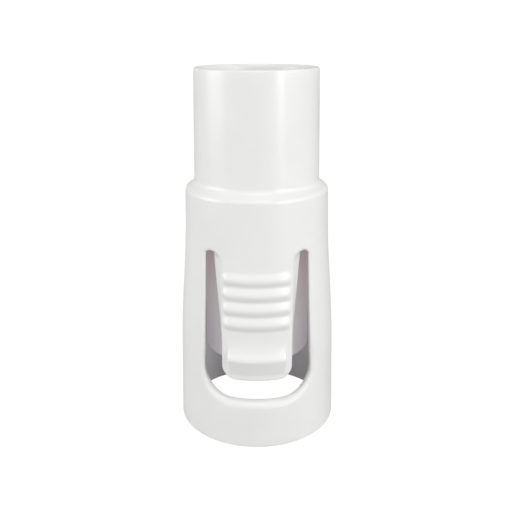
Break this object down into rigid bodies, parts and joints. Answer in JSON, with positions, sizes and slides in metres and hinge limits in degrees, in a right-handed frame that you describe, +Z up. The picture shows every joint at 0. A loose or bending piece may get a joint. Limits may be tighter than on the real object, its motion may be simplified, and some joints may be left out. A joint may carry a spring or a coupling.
{
  "type": "suction tip connector",
  "caption": "White push-fit suction tip connector: thin open socket tube on a flared sleeve with a U-cut, ridged release tongue and an inner airway tube.",
  "frame": {"origin": "middle of the sleeve's base, on the tube's axis, on the surface it stands on", "axes": "+Z up along the tube's axis towards the socket's rim; the release tongue faces -Y; X is across the tongue"},
  "size_m": [0.0238, 0.0243, 0.0535],
  "materials": {
    "socket_plastic": "white moulded plastic, soft gloss",
    "sleeve_plastic": "white moulded plastic, soft gloss",
    "airway_plastic": "white moulded plastic, satin",
    "seal_rubber": "grey silicone rubber, matt",
    "spring_wire": "stainless spring wire"
  },
  "bodies": {
    "sleeve_body": {"latch_sleeve": "sleeve_plastic", "tip_socket": "socket_plastic", "airway_tube": "airway_plastic", "socket_seal_ring": "seal_rubber", "spigot_o_ring": "seal_rubber", "collar_gasket": "seal_rubber", "retaining_ring": "spring_wire"},
    "tongue_body": {"release_tongue": "sleeve_plastic"}
  },
  "joints": [
    {"name": "tongue_flex", "type": "hinge", "parent": "sleeve_body", "child": "tongue_body", "pos_m": [0, -0.0096, 0.02735], "axis": [-1, 0, 0], "range_deg": [-4, 8], "stiffness_Nm_per_rad": 0.5}
  ]
}
